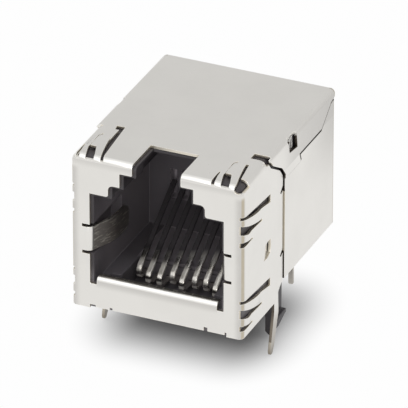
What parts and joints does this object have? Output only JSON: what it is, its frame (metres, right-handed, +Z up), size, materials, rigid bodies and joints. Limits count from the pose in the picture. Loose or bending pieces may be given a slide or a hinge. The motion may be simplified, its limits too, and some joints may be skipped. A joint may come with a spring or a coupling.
{
  "type": "rj45 board jack",
  "caption": "Shielded right-angle modular jack for a circuit board, latch keyway up, with grounding fingers, bent contact wires, solder legs and barbed pegs.",
  "frame": {"origin": "midway between the two board pegs, on the board's upper surface, where the underside of the body rests", "axes": "+Z up off the board, -Y out of the plug port, +X to the right for someone facing the port"},
  "size_m": [0.016, 0.0196, 0.0194],
  "materials": {
    "tinned_sheet": "bright tin-plated folded sheet, satin",
    "black_moulding": "moulded, fine matt",
    "insert_moulding": "moulded, fine matt",
    "plated_wire": "plated spring wire, bright"
  },
  "bodies": {
    "root": {"shield": "tinned_sheet", "housing": "black_moulding", "contact_carrier": "insert_moulding", "contact_1": "plated_wire", "contact_2": "plated_wire", "contact_3": "plated_wire", "contact_4": "plated_wire", "contact_5": "plated_wire", "contact_6": "plated_wire", "contact_7": "plated_wire", "contact_8": "plated_wire"}
  },
  "joints": []
}
